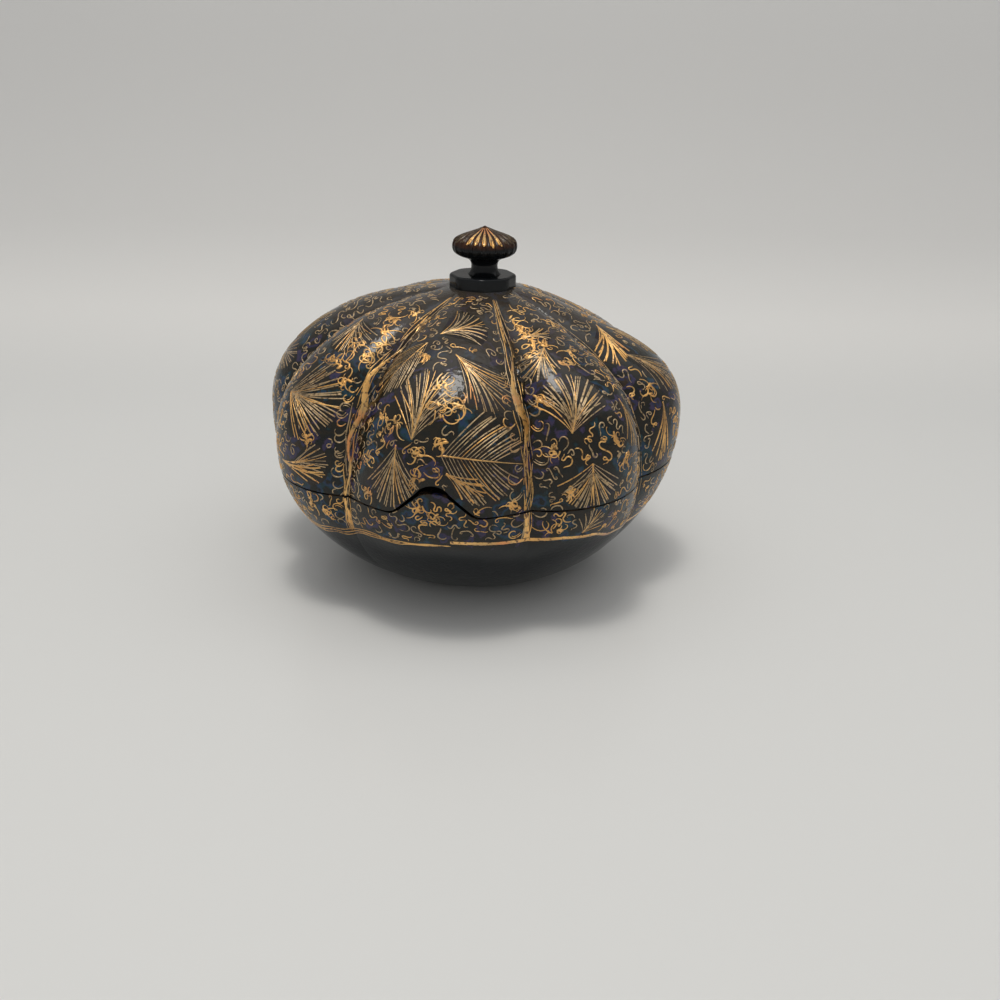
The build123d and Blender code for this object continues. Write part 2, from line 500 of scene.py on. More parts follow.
# Lines along a groove that has no gold: offsets, top and width
FAINT_OFFSETS = (-0.7, 0.8)
FAINT_TOP = 70
FAINT_WIDTH = 0.26

# Groove of the bold band, and azimuths between which bands are faint
BOLD_GROOVE = 17
GROOVE_MATCH = 5
BOLD_HOOKS = 1.25
FAINT_GROOVES = ((-90, -60), (45, 75))


def band_point(groove, offset, height):
    """Place of the wall at a level distance from a groove, in millimetres."""
    return wall_point(groove + degrees(offset / wall_radius(groove, height)), height)


def groove_band(groove, side, widths, solidity, hook=1.0):
    """Streaky gold band beside one groove, and hooks that stand on both of its edges."""
    fullness = dice.uniform(0.94, 1.06)
    bottom = border_at(groove)

    def width_at(height):
        return along_line(widths, height) * fullness

    rows = []
    height = BAND_TOP
    while height > bottom:
        solid = width_at(height) * along_line(solidity, height) * (1 + 0.16 * sin(height * 2.3))
        start = -BAND_EDGE + (width_at(height) - solid) / 2 * (1 + 0.7 * sin(height * 0.45))
        offsets = [start + solid * k / (FILM_COLUMNS - 1) for k in range(FILM_COLUMNS)]
        rows.append([band_point(groove, side * offset, height) for offset in offsets])
        height -= 2 * STEP if height < SHOULDER else STEP / 2
    film("gold", rows, GOLD_LIFT)
    for lane in range(BAND_LANES):
        height = BAND_TOP
        while height > bottom + 1:
            end = max(height - dice.uniform(6, 16), bottom)
            row = []
            while height > end:
                offset = width_at(height) * (lane + 0.5) / BAND_LANES - BAND_EDGE
                offset += 0.14 * sin(height * 0.8 + lane * 2)
                row.append(band_point(groove, side * offset, height))
                height -= STEP if height < SHOULDER else STEP / 3
            lay(row, dice.uniform(0.28, 0.5), swelling, dice.choice(["gold", "tan"]))
            height -= dice.uniform(0.0, 2.2)
    let_dry()
    for hand in (-1, 1):
        height = HOOKS_TOP
        while height > bottom + 2:
            size = hook * dice.uniform(0.7, 1.2) * (1.0 if height < HOOKS_FINE else 0.65)
            edge = width_at(height) - BAND_EDGE if hand == side else 0.3
            hit = band_point(groove, hand * edge, height)
            if hit is not None and dice.random() < 0.85:
                band_hook(Spot(hit[1], hit[2], Vector((0, 0, 1))), hand, size)
            height -= size * dice.uniform(1.5, 2.6)
    let_dry()


def band_hook(spot, hand, size):
    """Hook that leaves a band's edge and rolls in, at times drawn twice."""
    roll = dice.choice([-1, 1, 1])
    first = hand * (90 + roll * dice.uniform(25, 60))
    path = swept((0, 0), first, first - hand * roll * dice.uniform(190, 290), 4.6 * size, 1.7)
    hits = [spot.skin(x, y) for x, y in path]
    kind = dice.choice(["gold", "tan", "tan"])
    lay(hits, dice.uniform(0.38, 0.55), swelling, kind)
    if dice.random() < 0.4:
        inner = beside(path, -hand * roll * HOOK_GAP)
        lay([spot.skin(x, y) for x, y in inner[: int(0.6 * len(inner))]], 0.32, swelling, kind)


def faint_band(groove):
    """Fine dull lines along a groove that has no gold."""
    bottom = border_at(groove)
    for offset in FAINT_OFFSETS:
        height = FAINT_TOP
        while height > bottom + 1:
            end = max(height - dice.uniform(8, 18), bottom)
            row = []
            while height > end:
                row.append(band_point(groove, offset + 0.15 * sin(height * 0.6 + offset), height))
                height -= STEP
            lay(row, FAINT_WIDTH, swelling, "tan")
            height -= dice.uniform(0.5, 3.0)
    let_dry()


def bands():
    """Band for each groove: one bold, two faint, the others fine."""
    for groove in GROOVES:
        if abs(groove - BOLD_GROOVE) < GROOVE_MATCH:
            groove_band(groove, -1, *BOLD_BAND, BOLD_HOOKS)
        elif any(low < groove < high for low, high in FAINT_GROOVES):
            faint_band(groove)
        else:
            groove_band(groove, -1 if groove < 0 else 1, *FINE_BAND)


# Leaves

# How a leaf's ribs leave it: start along the midrib, how evenly they open, how much the outer ones
# fall short, and how far each bends outwards
LEAF_KINDS = {
    "palm": (0.10, 0.95, 0.30, 20),
    "feather": (0.62, 0.22, 0.30, -14),
    "shell": (0.04, 1.00, 0.12, 40),
    "flame": (0.25, 0.90, 0.22, 8),
}
RIB_GAP = 1.0
FEATHER_GAP = 0.95
RIB_WIDTH = 0.39
RIB_CLEAR_OF_APEX = 0.16
MIDRIB_WIDTH = 0.55
MIDRIB_REACH = 0.94
LEAF_GROWTH = 1.18

# Dark ground under a leaf: step, columns, and how many degrees it fans out past the ribs
GROUND_STEP = 0.9
GROUND_COLUMNS = 14
GROUND_MARGIN = 5

# How far a chance leaf stays from dry paint and from grooves
LEAF_CLEARANCE = 0.7
LEAF_GROOVE_MARGIN = 2.2


def leaf(spot, length, spread, kind, weight):
    """Fan leaf whose apex is behind the spot: dark ground, midrib and ribs on both sides."""
    root, evenness, droop, bend = LEAF_KINDS[kind]
    half = length / 2
    ribs = max(3, round(radians(spread) * length * 0.9 / RIB_GAP))
    if kind == "feather":
        ribs = max(5, round(length * root / FEATHER_GAP))

    def reach_at(share):
        return length * (1 - droop * abs(share) ** 1.6)

    rows = []
    steps = max(6, int(length / GROUND_STEP))
    for i in range(steps):
        distance = length * (0.02 + 0.98 * i / (steps - 1))
        row = []
        for k in range(GROUND_COLUMNS + 1):
            share = 2 * k / GROUND_COLUMNS - 1
            angle = radians(share * (spread + GROUND_MARGIN))
            scale = distance * reach_at(share) / length
            row.append(spot.skin(sin(angle) * scale, cos(angle) * scale - half))
        rows.append(row)
    if any(hit is not None for row in rows for hit in row):
        film("ground", rows, GROUND_LIFT)
    sway = dice.uniform(-7, 7)
    midrib = swept((0, -half), -sway, sway, length * MIDRIB_REACH)
    paint(spot, midrib, MIDRIB_WIDTH * weight, lashing)
    for side in (-1, 1):
        for n in range(1, ribs + 1):
            share = n / ribs
            angle = spread * share**evenness
            start = length * root * (1 - share)
            if kind != "feather" and n % 2:
                start = max(start, RIB_CLEAR_OF_APEX * length)
            reach = reach_at(share) * dice.uniform(0.92, 1.0) - start
            first = side * (angle - bend * 0.5) + dice.uniform(-1.5, 1.5)
            last = side * (angle + bend * 0.6) + dice.uniform(-6, 6)
            path = swept((0, start - half), first, last, reach)
            tone = "gold" if weight > 1.1 or dice.random() < 0.15 else "tan"
            paint(spot, path, RIB_WIDTH * dice.uniform(0.85, 1.15) * weight, ribbing, kind=tone)
    let_dry()


def fits(spot, length, spread):
    """True if a leaf of this size would lie clear of dry paint, grooves and the border."""
    half = length / 2
    for share in (-1, -0.5, 0, 0.5, 1):
        for distance in (0.05, 0.35, 0.7, 1.0):
            angle = radians(share * spread)
            scale = distance * length * (1 - 0.3 * share * share)
            hit = spot.skin(sin(angle) * scale, cos(angle) * scale - half)
            if taken(hit, LEAF_CLEARANCE, LEAF_GROOVE_MARGIN):
                return False
    return True


# Leaves that the front shows: apex azimuth and height, tip azimuth and height, spread, kind, weight
FRONT_LEAVES = [
    (-16.5, 69.8, 3, 71, 48, "shell", 0.85),
    (-22, 67.5, -32, 57.5, 36, "feather", 0.9),
    (-6.5, 66.3, 9, 56.5, 30, "palm", 0.9),
    (-14.8, 52, -13, 64, 38, "palm", 1.05),
    (-5.8, 48.2, 14.2, 44.5, 50, "feather", 1.05),
    (-19, 48.2, -19, 34, 40, "flame", 1),
    (-5, 43.8, 3.5, 38.5, 24, "palm", 1.4),
    (27.8, 66.7, 19.5, 60.8, 50, "palm", 1.05),
    (20.5, 68, 36, 69, 20, "shell", 1.1),
    (26.8, 52.3, 31.5, 62.5, 50, "palm", 1.05),
    (31.2, 43.6, 32, 32.5, 58, "flame", 1.1),
    (44.2, 56, 47, 45.5, 26, "palm", 0.8),
    (32, 26, 35.5, 31.6, 50, "palm", 0.9),
    (-57, 54.5, -40.5, 53, 58, "palm", 1.05),
    (-60, 69.5, -48.5, 64.5, 42, "palm", 0.9),
    (-56, 37.5, -41.5, 37.3, 15, "palm", 1.4),
    (-51, 38.5, -41.5, 42, 26, "flame", 0.9),
    (75, 67, 62, 60.3, 30, "palm", 1.6),
    (69, 61.5, 78.5, 53, 26, "palm", 0.9),
    (68.5, 49.8, 66, 36.5, 18, "flame", 1.3),
    (82, 66, 93, 58, 34, "palm", 0.9),
    (84, 41, 83, 54.5, 36, "palm", 1),
    (-97, 55, -85.5, 56, 38, "palm", 1),
    (-93, 67, -102, 59.5, 36, "palm", 0.9),
    (-101, 44.5, -97, 33.5, 38, "flame", 1),
]

# Chance leaves: azimuths where the front ends, tries, the most, lengths and heights
FRONT_LEFT = -121
FRONT_RIGHT = 107
LEAF_TRIES = 900
MOST_LEAVES = 70
LONGEST_LEAF = 16
SHORTEST_LEAF = 8
LEAF_HEIGHTS = (28, 71)


def front_leaves():
    """Leaves of the lobes that the front shows."""
    for azimuth, height, tip_azimuth, tip_height, spread, kind, weight in FRONT_LEAVES:
        spot, length = spot_between(azimuth, height, tip_azimuth, tip_height)
        leaf(spot, length * LEAF_GROWTH, spread, kind, weight)


def chance_leaves():
    """Leaves on the lobes behind, wherever one still fits, larger ones first."""
    made = 0
    for n in range(LEAF_TRIES):
        length = LONGEST_LEAF - (LONGEST_LEAF - SHORTEST_LEAF) * n / LEAF_TRIES
        azimuth = dice.uniform(FRONT_RIGHT, FRONT_LEFT + 360)
        height = dice.uniform(*LEAF_HEIGHTS)
        spread = dice.uniform(30, 48)
        spot = spot_heading(azimuth, height, dice.uniform(0, 360))
        if spot is None or not fits(spot, length, spread):
            continue
        kind = dice.choice(["palm", "palm", "flame", "feather"])
        leaf(spot, length, spread, kind, dice.uniform(0.9, 1.12))
        made += 1
        if made == MOST_LEAVES:
            return


# Scrolls

# Knots of scrolls that catch the eye: azimuth, height, heading, size
KNOTS = [
    (-9, 57.5, 80, 2.3), (-4, 58.5, -60, 1.7), (-9.5, 61.5, 0, 1.6), (-19.5, 66, 30, 1.3),
    (-7.6, 50.6, 10, 1.2), (-20.5, 53.5, 160, 1.8), (-12.6, 48.4, 160, 1.6), (-25, 54, 20, 1.4),
    (-46, 62.2, 40, 2.2), (-41.5, 63.4, 0, 1.9), (-50.5, 63, 90, 1.6), (-43, 59, 180, 1.6),
    (-44.5, 69, 20, 1.8), (21.5, 71.3, 20, 1.7), (26.5, 69, 100, 1.4), (29.5, 67.4, 120, 1.5),
    (20.8, 57.6, 0, 1.6), (38.5, 66, 60, 1.5), (44.5, 70, 60, 1.6), (38.5, 49.5, 0, 1.7),
    (41.5, 43.5, 200, 1.5), (22.5, 47.5, 90, 1.3), (26, 37.5, 80, 1.4), (-12, 34.6, 80, 1.6),
    (-8.5, 32.2, 110, 1.5), (-42, 26.8, 0, 1.8), (2.5, 33.5, 60, 1.4), (11.5, 35.2, 150, 1.5),
    (23.5, 27.6, 90, 1.6), (-47, 29, 20, 1.5), (-46.5, 45.5, 0, 1.3), (-27.3, 36, 60, 1.3),
    (-28, 44, 0, 1.3), (66, 54, 0, 1.6), (86, 49, 0, 1.6), (22.5, 70, 0, 1.9),
    (25, 67.8, 60, 1.8), (22.5, 65.5, 120, 1.5), (-41.5, 71.8, 20, 1.5), (-47, 70.8, 60, 1.7),
    (-40.5, 66, 0, 1.6), (-48.5, 66.5, 90, 1.5), (33, 64.5, 30, 1.4), (-13, 42, 60, 1.5),
]
KNOT_HOOKS = 9
KNOT_DABS = 2
DAB_LENGTH = 1.7
DAB_WIDTH = 0.9


def knot(spot, size):
    """Tangle of thick hooks and dabs of gold, over whatever is dry."""
    for n in range(KNOT_HOOKS):
        heading = 360 / KNOT_HOOKS * n + dice.uniform(-40, 40)
        hand = dice.choice([-1, 1])
        start = (dice.uniform(-0.7, 0.7) * size, dice.uniform(-0.7, 0.7) * size)
        length = size * dice.uniform(1.2, 3.0)
        turned = hand * dice.choice([80, 140, 210, 300])
        path = swept(start, heading, heading + turned, length, dice.uniform(1.2, 2.4))
        paint(spot, path, dice.uniform(0.4, 0.66), lashing, 0.0)
    for _ in range(KNOT_DABS):
        heading = dice.uniform(0, 360)
        start = (dice.uniform(-0.5, 0.5) * size, dice.uniform(-0.5, 0.5) * size)
        paint(spot, swept(start, heading, heading + 60, DAB_LENGTH), DAB_WIDTH, swelling, 0.0)
    let_dry()


def hook_turn(share):
    """Turn of a curl that starts straight and rolls in at its end."""
    return share**1.7


def scroll_turn(share):
    """Turn of a C: both ends roll in the same way round."""
    away = 2 * share - 1
    return 0.5 + 0.5 * copysign(abs(away) ** 2.4, away)


def wave_turn(share):
    """Turn of an S: its ends roll in opposite ways round."""
    return abs(2 * share - 1) ** 1.9


# Curls: how each turns, through how many degrees, and how long it is for its size
CURLS = [
    (hook_turn, 400, 3.3),
    (hook_turn, 310, 2.7),
    (scroll_turn, 560, 4.4),
    (scroll_turn, 440, 3.6),
    (wave_turn, 290, 4.2),
]

# Rounds of curls: size, width and tries
CURL_SIZES = [(2.6, 0.52, 1500), (2.1, 0.48, 5000), (1.5, 0.42, 9000)]

# A curl's distance from dry paint, the room at its start for its size, and its wobble in degrees
CURL_GAP = 0.46
CURL_ROOM = 0.3
WOBBLE = 22

# Large curls may be drawn with two lines
DOUBLE_SHARE = 0.3
DOUBLE_SIZE = 2
DOUBLE_GAP = 0.62
DOUBLE_WIDTH = 0.8

# Tries for chains, the room at a chain's start, and its distance from dry paint
CHAINS = 4500
CHAIN_ROOM = 0.6
CHAIN_GAP = 0.44

# Where free strokes may start: heights, and distance from a groove
SCROLLS_FROM = 21
SCROLLS_TO = CROWN - 0.4
START_MARGIN = GROOVE_MARGIN + 0.2


def free_spot(clearance):
    """Random unpainted place with a random heading, or None."""
    height = dice.uniform(SCROLLS_FROM, SCROLLS_TO)
    hit = wall_point(dice.uniform(-180, 180), height)
    if taken(hit, clearance, START_MARGIN):
        return None
    angle = dice.uniform(0, 2 * pi)
    level = Vector((0, 0, 1)).cross(hit[2]).normalized()
    return Spot(hit[1], hit[2], hit[2].cross(level) * cos(angle) + level * sin(angle))


def curl(spot, size, width):
    """One curl round a spot, at times drawn with a double line, if it finds room."""
    turn_at, turned, length = dice.choice(CURLS)
    hand = dice.choice([-1, 1])
    kind = dice.choice(["gold", "tan", "tan"])
    beats = dice.uniform(2.5, 5.0)
    phase = dice.uniform(0, 6.28)

    def heading_at(share):
        return hand * turned * turn_at(share) + WOBBLE * sin(beats * pi * share + phase)

    path = centred(bent((0, 0), size * length, heading_at))
    if dice.random() < DOUBLE_SHARE and size > DOUBLE_SIZE:
        width *= DOUBLE_WIDTH
        if paint(spot, beside(path, DOUBLE_GAP / 2), width, swelling, CURL_GAP, 1.0, kind):
            paint(spot, beside(path, -DOUBLE_GAP / 2), width, swelling, CURL_GAP, 0.3, kind)
    else:
        paint(spot, path, width * dice.uniform(0.8, 1.15), swelling, CURL_GAP, 0.55, kind)
    let_dry()


def chain(spot):
    """Long stroke that waves and loops round a drifting course until it meets dry paint."""
    length = dice.uniform(9, 24)
    waves = length / dice.uniform(4.2, 6.4)
    drift = dice.uniform(-120, 120)
    swing = dice.uniform(88, 108)
    first, second = dice.uniform(0, 6.28), dice.uniform(0, 6.28)

    def heading_at(share):
        phase = 2 * pi * waves * (share + 0.07 * sin(9 * share + first))
        return drift * share + swing * (1 + 0.3 * sin(11 * share + second)) * sin(phase)

    path = bent((0, 0), length, heading_at)
    width, kind = dice.uniform(0.4, 0.55), dice.choice(["gold", "tan"])
    if paint(spot, path, width, swelling, CHAIN_GAP, 0.25, kind):
        let_dry()


def scrolls():
    """Knots at their places, then chains and curls wherever there is room."""
    for azimuth, height, heading, size in KNOTS:
        spot = spot_heading(azimuth, height, heading)
        if spot is not None:
            knot(spot, size)
    for _ in range(CHAINS):
        spot = free_spot(CHAIN_ROOM)
        if spot is not None:
            chain(spot)
    for size, width, tries in CURL_SIZES:
        for _ in range(tries):
            spot = free_spot(CURL_ROOM * size)
            if spot is not None:
                curl(spot, size * dice.uniform(0.9, 1.15), width)


# Rays on the knob

RAYS = 22

# Share of a ridge that its ray covers, azimuth up to which rays are gold (past it they are painted dull
# brown as painted shade), rim's share of the height
RAY_FILL = 0.6
FRONT_RAYS = 45
RIM_SHARE = 0.58

# Elevations between which a ray runs, seen from a point below the rim, and its grid
RAY_TOP = 84
RAY_ENDS = (17, 23)
RAY_DEPTH = 2
RAY_ROWS = 26
RAY_COLUMNS = 5


def knob_rays():
    """Paint on the ridges between the knob's flutes: gold in front, and dull brown elsewhere as painted
    shade.
    """
    tree = tree_of("knob")
    low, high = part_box("knob")
    rim = low.z + RIM_SHARE * (high.z - low.z)
    heart = Vector(((low.x + high.x) / 2, 0, rim - RAY_DEPTH * MM))
    for n in range(RAYS):
        middle = 360 / RAYS * (n + 0.5) + 90
        rows = []
        lowest = dice.uniform(*RAY_ENDS)
        for i in range(RAY_ROWS):
            run = i / (RAY_ROWS - 1)
            elevation = radians(RAY_TOP - (RAY_TOP - lowest) * run)
            row = []
            for k in range(RAY_COLUMNS):
                share = 2 * k / (RAY_COLUMNS - 1) - 1
                fill = RAY_FILL * (0.7 + 0.45 * run) * (1 - 0.75 * run**12)
                azimuth = middle + share * 180 / RAYS * fill
                away = outward(azimuth) * cos(elevation) + Vector((0, 0, sin(elevation)))
                place, normal, _, _ = tree.ray_cast(heart + away * FAR, -away, FAR)
                row.append(None if place is None else ("knob", place, normal))
            rows.append(row)
        # Painted shade: rays away from the front get the dull brown paint instead of gold
        front = abs(turn_between(0, middle)) < FRONT_RAYS
        film("gold" if front else "dull", rows, GOLD_LIFT)
    wet.clear()


# Materials

def new_material(name):
    """A material, its node tree and its shader."""
    material = bpy.data.materials.new(name)
    material.use_nodes = True
    tree = material.node_tree
    return material, tree, tree.nodes["Principled BSDF"]


def add_node(tree, kind, **settings):
    """A node with its settings."""
    node = tree.nodes.new(kind)
    for name, value in settings.items():
        setattr(node, name, value)
    return node


def noise(tree, size, detail, shift):
    """Noise with features of a size in millimetres, fixed to the piece; each shift gives another."""
    place = add_node(tree, "ShaderNodeTexCoord")
    mapping = add_node(tree, "ShaderNodeMapping")
    mapping.inputs["Location"].default_value = (shift, shift * 0.7, -shift)
    tree.links.new(place.outputs["Object"], mapping.inputs["Vector"])
    node = add_node(tree, "ShaderNodeTexNoise")
    node.inputs["Scale"].default_value = 1 / (size * MM)
    node.inputs["Detail"].default_value = detail
    tree.links.new(mapping.outputs["Vector"], node.inputs["Vector"])
    return node.outputs["Fac"]


def ramp(tree, value, stops):
    """Colours along a value."""
    node = add_node(tree, "ShaderNodeValToRGB")
    elements = node.color_ramp.elements
    while len(elements) < len(stops):
        elements.new(0.5)
    for element, (position, colour) in zip(elements, stops):
        element.position = position
        element.color = (*colour, 1.0)
    tree.links.new(value, node.inputs["Fac"])
    return node.outputs["Color"]


def between(tree, value, start, full):
    """Eased step from 0 at start to 1 at full, which may be the lower of the two."""
    node = add_node(tree, "ShaderNodeMapRange", interpolation_type="SMOOTHSTEP")
    node.inputs["From Min"].default_value = start
    node.inputs["From Max"].default_value = full
    tree.links.new(value, node.inputs["Value"])
    return node.outputs["Result"]


def blend_colours(tree, share, a, b):
    """Colour a where share is 0 and b where it is 1; each is a socket or a colour."""
    node = add_node(tree, "ShaderNodeMix", data_type="RGBA")
    tree.links.new(share, node.inputs["Factor"])
    for name, colour in (("A", a), ("B", b)):
        socket = next(s for s in node.inputs if s.name == name and s.type == "RGBA")
        if isinstance(colour, tuple):
            socket.default_value = (*colour, 1.0)
        else:
            tree.links.new(colour, socket)
    return next(s for s in node.outputs if s.type == "RGBA")


def multiply(tree, a, b):
    """Product of two values, each a socket or a number."""
    node = add_node(tree, "ShaderNodeMath", operation="MULTIPLY")
    for socket, value in zip(node.inputs, (a, b)):
        if isinstance(value, float):
            socket.default_value = value
        else:
            tree.links.new(value, socket)
    return node.outputs["Value"]


def bumps(tree, shader, layers):
    """Chained bumps: for each, feature size and height in millimetres."""
    before = None
    for n, (size, height) in enumerate(layers):
        node = add_node(tree, "ShaderNodeBump")
        node.inputs["Distance"].default_value = height * MM
        tree.links.new(noise(tree, size, 2.0, 0.3 * (n + 1)), node.inputs["Height"])
        if before is not None:
            tree.links.new(before, node.inputs["Normal"])
        before = node.outputs["Normal"]
    tree.links.new(before, shader.inputs["Normal"])
    tree.links.new(before, shader.inputs["Coat Normal"])


def set_gloss(shader, roughness, coat, coat_roughness, specular=0.0, metallic=0.0):
    """Roughness and metal of the ground, and weight and roughness of the varnish over it."""
    settings = {
        "Roughness": roughness,
        "Specular IOR Level": specular,
        "Metallic": metallic,
        "Coat IOR": VARNISH_IOR,
        "Coat Weight": coat,
        "Coat Roughness": coat_roughness,
    }
    for name, value in settings.items():
        shader.inputs[name].default_value = value


def coordinate(tree, output, axis):
    """One coordinate of a point's place on its piece, in metres, or of its normal."""
    place = add_node(tree, "ShaderNodeTexCoord")
    split = add_node(tree, "ShaderNodeSeparateXYZ")
    tree.links.new(place.outputs[output], split.inputs["Vector"])
    return split.outputs[axis]


def by_height(tree, start, full):
    """Eased step from 0 to 1 between two heights on the piece, in metres."""
    return between(tree, coordinate(tree, "Object", "Z"), start, full)


def facing_out(tree):
    """1 on the outside of the shells and 0 on the inside."""
    place = add_node(tree, "ShaderNodeTexCoord")
    away = add_node(tree, "ShaderNodeVectorMath", operation="SUBTRACT")
    away.inputs[1].default_value = HEART
    tree.links.new(place.outputs["Object"], away.inputs[0])
    dot = add_node(tree, "ShaderNodeVectorMath", operation="DOT_PRODUCT")
    tree.links.new(away.outputs["Vector"], dot.inputs[0])
    tree.links.new(place.outputs["Normal"], dot.inputs[1])
    return between(tree, dot.outputs["Value"], -0.0005, 0.0005)


BLACK = (0.006, 0.007, 0.008)
GREEN_BLACK = (0.009, 0.011, 0.012)
# The next colour is painted over the top of the lid as a painted sheen of reflected light
SHEEN_BROWN = (0.048, 0.038, 0.030)
WORN_BROWN = (0.11, 0.065, 0.035)
DARK_BROWN = (0.018, 0.008, 0.005)
RED_BROWN = (0.050, 0.018, 0.008)

# Clouds: colours along a noise
DEEP = (0.005, 0.007, 0.006)
BLUE = (0.014, 0.036, 0.084)
TEAL = (0.008, 0.036, 0.046)
OLIVE = (0.015, 0.011, 0.005)
PURPLE = (0.042, 0.028, 0.070)
INDIGO = (0.016, 0.024, 0.064)
UMBER = (0.032, 0.018, 0.007)
CLOUDS = [
    (0.0, (0.006, 0.007, 0.005)), (0.36, DEEP), (0.39, BLUE), (0.42, TEAL), (0.455, DEEP), (0.52, OLIVE),
    (0.585, DEEP), (0.615, PURPLE), (0.645, INDIGO), (0.67, UMBER), (0.73, (0.007, 0.007, 0.005)),
]

# Bumps of varnish over lacquer and of strokes: feature size and height
VARNISH = [(7.0, 0.14), (0.9, 0.07)]
BRUSHED = [(1.6, 0.06), (0.4, 0.03)]
VARNISH_IOR = 1.46

# Heights, in metres, at which clouds start, a painted pale-brown sheen of reflected light sets in near the
# crown, and the seam's worn faces start and end
CLOUDS_FROM = (0.0225, 0.0245)
SHEEN_FROM = (0.058, 0.070)
SHEEN_SHARE = 0.75
SEAM_FACES_FROM = (0.028, 0.030)
SEAM_FACES_TO = (0.046, 0.044)


def painted_lacquer():
    """Black ground with purple, blue, teal and brown clouds outside, plain below the border and inside,
    with a painted sheen of reflected light near the crown.
    """
    material, tree, shader = new_material("painted_lacquer")
    clouds = ramp(tree, noise(tree, 7.0, 4.0, 0.11), CLOUDS)
    # Painted sheen: towards the crown the clouds turn paler brown, standing in for reflected light there
    high = multiply(tree, by_height(tree, *SHEEN_FROM), SHEEN_SHARE)
    clouds = blend_colours(tree, high, clouds, SHEEN_BROWN)
    outside = blend_colours(tree, by_height(tree, *CLOUDS_FROM), GREEN_BLACK, clouds)
    coloured = blend_colours(tree, facing_out(tree), BLACK, outside)
    level = add_node(tree, "ShaderNodeMath", operation="ABSOLUTE")
    tree.links.new(coordinate(tree, "Normal", "Z"), level.inputs[0])
    edge = multiply(tree, between(tree, level.outputs["Value"], 0.75, 0.9), by_height(tree, *SEAM_FACES_TO))
    edge = multiply(tree, edge, by_height(tree, *SEAM_FACES_FROM))
    worn = multiply(tree, edge, between(tree, noise(tree, 2.5, 4.0, 0.5), 0.45, 0.6))
    tree.links.new(blend_colours(tree, worn, coloured, WORN_BROWN), shader.inputs["Base Color"])
    set_gloss(shader, 0.5, 0.8, 0.05)
    bumps(tree, shader, VARNISH)
    return material


def plain_lacquer(name, colour, worn_colour, wear):
    """Black lacquer with faint worn flecks."""
    material, tree, shader = new_material(name)
    flecks = between(tree, noise(tree, 1.6, 5.0, 0.2), wear, wear + 0.06)
    cloud = ramp(tree, noise(tree, 6.0, 3.0, 0.4), [(0.3, colour), (0.7, tuple(1.7 * c for c in colour))])
    tree.links.new(blend_colours(tree, flecks, cloud, worn_colour), shader.inputs["Base Color"])
    set_gloss(shader, 0.5, 0.5, 0.12)
    bumps(tree, shader, [(4.0, 0.05), (0.7, 0.008)])
    return material


def knob_lacquer():
    """Dark brown on the fluted cap, black below its rim."""
    material, tree, shader = new_material("knob_lacquer")
    low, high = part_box("knob")
    rim = low.z + RIM_SHARE * (high.z - low.z)
    cap = by_height(tree, rim - 0.0002, rim + 0.0008)
    brown = ramp(tree, noise(tree, 1.5, 3.0, 0.7), [(0.35, DARK_BROWN), (0.7, RED_BROWN)])
    tree.links.new(blend_colours(tree, cap, BLACK, brown), shader.inputs["Base Color"])
    set_gloss(shader, 0.4, 0.5, 0.12)
    bumps(tree, shader, [(2.5, 0.03), (0.5, 0.006)])
    return material


def leaf_ground():
    """Olive-brown film under the leaves."""
    material, tree, shader = new_material("leaf_ground")
    tree.links.new(ramp(tree, noise(tree, 5.0, 4.0, 0.9), [
        (0.32, (0.006, 0.007, 0.006)),
        (0.50, (0.020, 0.014, 0.006)),
        (0.66, (0.014, 0.010, 0.016)),
    ]), shader.inputs["Base Color"])
    set_gloss(shader, 0.5, 0.8, 0.05)
    bumps(tree, shader, VARNISH)
    return material


def gold_paint():
    """Bronze powder gold, brighter and redder in places, under varnish."""
    material, tree, shader = new_material("gold_paint")
    broad = noise(tree, 12.0, 2.0, 0.15)
    fine = noise(tree, 0.9, 4.0, 0.6)
    tone = ramp(tree, broad, [
        (0.30, (0.50, 0.27, 0.080)),
        (0.42, (0.82, 0.44, 0.120)),
        (0.52, (0.95, 0.55, 0.170)),
        (0.60, (0.66, 0.40, 0.135)),
        (0.70, (0.82, 0.34, 0.105)),
    ])
    worn = between(tree, fine, 0.54, 0.68)
    tree.links.new(blend_colours(tree, worn, tone, (0.20, 0.10, 0.04)), shader.inputs["Base Color"])
    set_gloss(shader, 0.4, 1.0, 0.12, 0.5, 0.85)
    bumps(tree, shader, BRUSHED)
    return material


def tan_paint():
    """Thin bronze wash, paler and duller than the gold."""
    material, tree, shader = new_material("tan_paint")
    tone = ramp(tree, noise(tree, 8.0, 3.0, 0.45), [
        (0.32, (0.32, 0.22, 0.110)),
        (0.46, (0.64, 0.45, 0.240)),
        (0.58, (0.42, 0.29, 0.140)),
        (0.70, (0.58, 0.34, 0.150)),
    ])
    worn = between(tree, noise(tree, 0.8, 4.0, 0.65), 0.50, 0.66)
    tree.links.new(blend_colours(tree, worn, tone, (0.12, 0.075, 0.035)), shader.inputs["Base Color"])
    set_gloss(shader, 0.42, 1.0, 0.1, 0.5, 0.7)
    bumps(tree, shader, BRUSHED)
    return material


def shaded_ray_paint():
    """Dull brown that paints the shade on the knob's rays away from the front."""
    material, tree, shader = new_material("shaded_ray_paint")
    tree.links.new(ramp(tree, noise(tree, 2.0, 4.0, 0.35), [
        (0.35, (0.030, 0.022, 0.014)),
        (0.55, (0.110, 0.078, 0.045)),
        (0.70, (0.055, 0.038, 0.022)),
    ]), shader.inputs["Base Color"])
    set_gloss(shader, 0.5, 0.5, 0.14, metallic=0.3)
    bumps(tree, shader, [(1.6, 0.03), (0.4, 0.01)])
    return material


